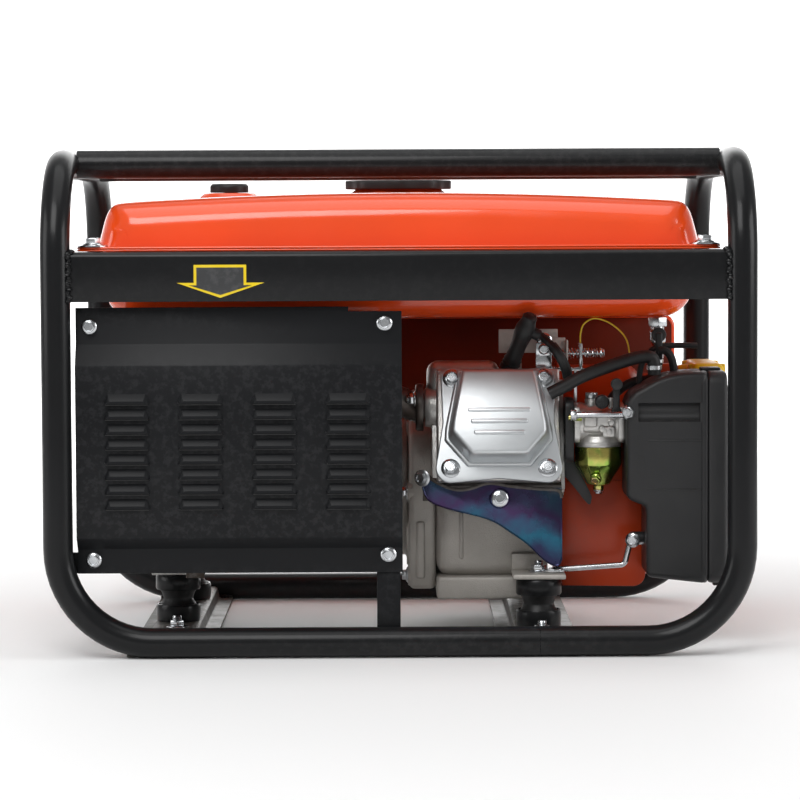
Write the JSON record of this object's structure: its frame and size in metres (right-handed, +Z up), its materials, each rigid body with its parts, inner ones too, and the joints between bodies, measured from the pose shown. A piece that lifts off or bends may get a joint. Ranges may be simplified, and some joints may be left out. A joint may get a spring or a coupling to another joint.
{
  "type": "portable generator",
  "caption": "Open-frame portable petrol generator: tube frame on rubber mounts, fuel tank on top, single-cylinder engine driving an alternator.",
  "frame": {"origin": "on the floor, under the middle of the frame", "axes": "+X along the crankshaft from alternator to starter, +Y from the muffler side to the control panel side, +Z up"},
  "size_m": [0.605, 0.435, 0.432],
  "materials": {
    "frame_black": "satin",
    "shield_black": "satin",
    "orange_paint": "gloss",
    "cast_aluminium": "satin",
    "sand_cast": "matte",
    "zinc": "satin",
    "yellow_zinc": "gloss",
    "black_plastic": "satin",
    "rubber": "matte",
    "heat_tint": "satin",
    "steel": "matte",
    "winding": "satin",
    "yellow_plastic": "gloss",
    "foam": "matte",
    "red_plastic": "gloss"
  },
  "bodies": {
    "frame": {"frame_hoop_left": "frame_black", "frame_hoop_right_front": "frame_black", "frame_hoop_right_rear": "frame_black", "top_rail_front": "frame_black", "top_rail_rear": "frame_black", "tank_rail_front": "frame_black", "tank_rail_rear": "frame_black", "cross_channel_left": "frame_black", "cross_channel_right": "frame_black", "rubber_mount_left_front": "rubber", "rubber_mount_left_rear": "rubber", "rubber_mount_right_front": "rubber", "rubber_mount_right_rear": "rubber", "tank_upper_shell": "orange_paint", "tank_lower_shell": "orange_paint", "fuel_gauge_bezel": "black_plastic", "fuel_valve": "zinc", "fuel_hose": "rubber", "crankcase": "sand_cast", "crankcase_cover": "sand_cast", "cylinder_head": "cast_aluminium", "valve_cover": "cast_aluminium", "spark_plug": "zinc", "spark_plug_boot": "rubber", "ignition_lead": "rubber", "exhaust_elbow": "steel", "muffler": "steel", "muffler_shield": "shield_black", "cylinder_shroud": "heat_tint", "carb_insulator": "black_plastic", "carburetor_body": "zinc", "carburetor_bowl": "yellow_zinc", "control_bracket": "zinc", "air_cleaner_case": "black_plastic", "air_filter_element": "foam", "air_cleaner_stay": "zinc", "breather_hose": "rubber", "blower_housing": "orange_paint", "recoil_housing": "orange_paint", "recoil_rope": "foam", "alternator_end_bell": "cast_aluminium", "alternator_stator": "steel", "alternator_adapter": "cast_aluminium", "panel_box": "orange_paint"},
    "crank": {"crankshaft": "steel", "flywheel_fan": "cast_aluminium", "alternator_rotor": "winding"},
    "starter_pulley": {"recoil_pulley": "black_plastic"},
    "starter_grip": {"recoil_grip": "yellow_plastic"},
    "cap_carrier": {"cap_gasket": "rubber"},
    "filler_cap": {"fuel_cap": "black_plastic"},
    "valve_lever": {"fuel_valve_lever": "red_plastic"},
    "choke": {"choke_lever": "black_plastic"},
    "throttle": {"throttle_lever": "zinc"},
    "governor": {"governor_arm": "zinc"},
    "float": {"gauge_float": "red_plastic"},
    "switch_rocker": {"engine_switch": "red_plastic"},
    "breaker": {"breaker_button": "black_plastic"},
    "oil_cap": {"oil_filler_cap": "black_plastic"},
    "air_lid": {"air_cleaner_cover": "black_plastic"}
  },
  "joints": [
    {"name": "crank_spin", "type": "hinge", "parent": "frame", "child": "crank", "pos_m": [0, 0.015, 0.137], "axis": [1, 0, 0], "continuous": true},
    {"name": "recoil_pull", "type": "slide", "parent": "frame", "child": "starter_grip", "axis": [1, 0, 0], "range_m": [0, 0.6], "stiffness_N_per_m": 30},
    {"name": "recoil_pulley_turn", "type": "hinge", "parent": "frame", "child": "starter_pulley", "pos_m": [0, 0.015, 0.137], "axis": [1, 0, 0], "range_deg": [0, 663]},
    {"name": "fuel_cap_lift", "type": "slide", "parent": "frame", "child": "cap_carrier", "axis": [0, 0, 1], "range_m": [0, 0.06]},
    {"name": "fuel_cap_turn", "type": "hinge", "parent": "cap_carrier", "child": "filler_cap", "pos_m": [0, 0, 0.405], "axis": [0, 0, 1], "range_deg": [0, 90]},
    {"name": "fuel_valve_turn", "type": "hinge", "parent": "frame", "child": "valve_lever", "pos_m": [0.228, -0.0943, 0.268], "axis": [0, 1, 0], "range_deg": [0, 90]},
    {"name": "choke_turn", "type": "hinge", "parent": "frame", "child": "choke", "pos_m": [0.188, -0.1313, 0.203], "axis": [0, 1, 0], "range_deg": [-60, 0]},
    {"name": "throttle_turn", "type": "hinge", "parent": "frame", "child": "throttle", "pos_m": [0.168, -0.11, 0.2133], "axis": [0, 0, 1], "range_deg": [-35, 35]},
    {"name": "governor_turn", "type": "hinge", "parent": "frame", "child": "governor", "pos_m": [0.124, -0.026, 0.2223], "axis": [0, 0, 1], "range_deg": [-11, 11]},
    {"name": "gauge_float_swing", "type": "hinge", "parent": "frame", "child": "float", "pos_m": [-0.153, 0, 0.3773], "axis": [0, 1, 0], "range_deg": [-37, 0]},
    {"name": "engine_switch_rock", "type": "hinge", "parent": "frame", "child": "switch_rocker", "pos_m": [0.16, 0.203, 0.2285], "axis": [1, 0, 0], "range_deg": [0, 16]},
    {"name": "breaker_press", "type": "slide", "parent": "frame", "child": "breaker", "axis": [0, -1, 0], "range_m": [0, 0.003], "stiffness_N_per_m": 300},
    {"name": "oil_cap_turn", "type": "hinge", "parent": "frame", "child": "oil_cap", "pos_m": [0.06, 0.1083, 0.078], "axis": [0, 1, 0], "range_deg": [0, 720]},
    {"name": "air_cover_slide", "type": "slide", "parent": "frame", "child": "air_lid", "axis": [1, 0, 0], "range_m": [0, 0.04]}
  ],
  "couplings": [
    {"joint": "recoil_pulley_turn", "follows": "recoil_pull", "rad_per_m": 19.2},
    {"joint": "governor_turn", "follows": "throttle_turn", "ratio": 0.3}
  ]
}
